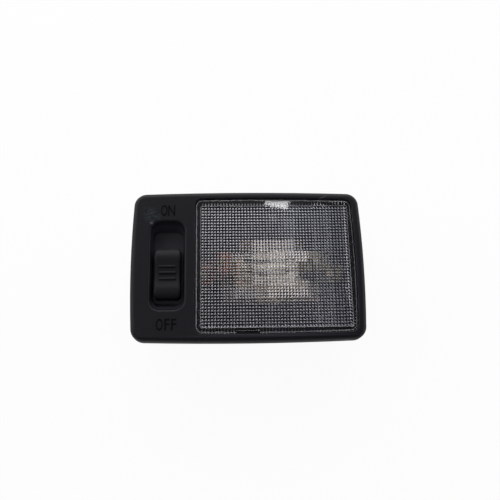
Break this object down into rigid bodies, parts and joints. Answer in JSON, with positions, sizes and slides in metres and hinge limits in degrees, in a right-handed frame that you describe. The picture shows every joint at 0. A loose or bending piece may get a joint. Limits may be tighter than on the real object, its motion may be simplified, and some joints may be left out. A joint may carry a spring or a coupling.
{
  "type": "car dome light",
  "caption": "Rectangular car interior dome light: black moulded frame with a clear prism lens over a festoon bulb and a sliding thumb switch beside it.",
  "frame": {"origin": "middle of the lamp's outline on the plane of the back rim", "axes": "+Z out of the lit face, +X from the switch to the lens, +Y from OFF to ON"},
  "size_m": [0.09, 0.0596, 0.027],
  "materials": {
    "black_abs": "fine moulded grain",
    "black_knob": "smooth satin",
    "clear_acrylic": "clear, pyramids inside",
    "white_nylon": "moulded",
    "spring_brass": "rolled",
    "spring_steel": "rolled",
    "brown_laminate": "pressed laminate",
    "contact_brass": "stamped, dulled",
    "contact_copper": "stamped, reddish",
    "rivet_brass": "headed",
    "zinc_steel": "zinc plated",
    "bright_aluminium": "bright sheet",
    "bulb_glass": "clear",
    "cap_nickel": "nickel plated",
    "tungsten": "drawn wire"
  },
  "bodies": {
    "lamp": {"housing": "black_abs", "lens": "clear_acrylic", "detent_spring": "spring_steel", "switch_base": "brown_laminate", "feed_terminal": "contact_brass", "switched_contact": "contact_copper", "ground_terminal": "contact_brass", "contact_rivets": "rivet_brass", "base_screws": "zinc_steel", "reflector": "bright_aluminium", "bulb_glass": "bulb_glass", "bulb_cap_left": "cap_nickel", "bulb_cap_right": "cap_nickel", "bulb_filament": "tungsten"},
    "slider": {"switch_knob": "black_knob", "contact_carrier": "white_nylon", "moving_contact": "spring_brass"}
  },
  "joints": [
    {"name": "switch_slide", "type": "slide", "parent": "lamp", "child": "slider", "axis": [0, 1, 0], "range_m": [0, 0.0064]}
  ]
}
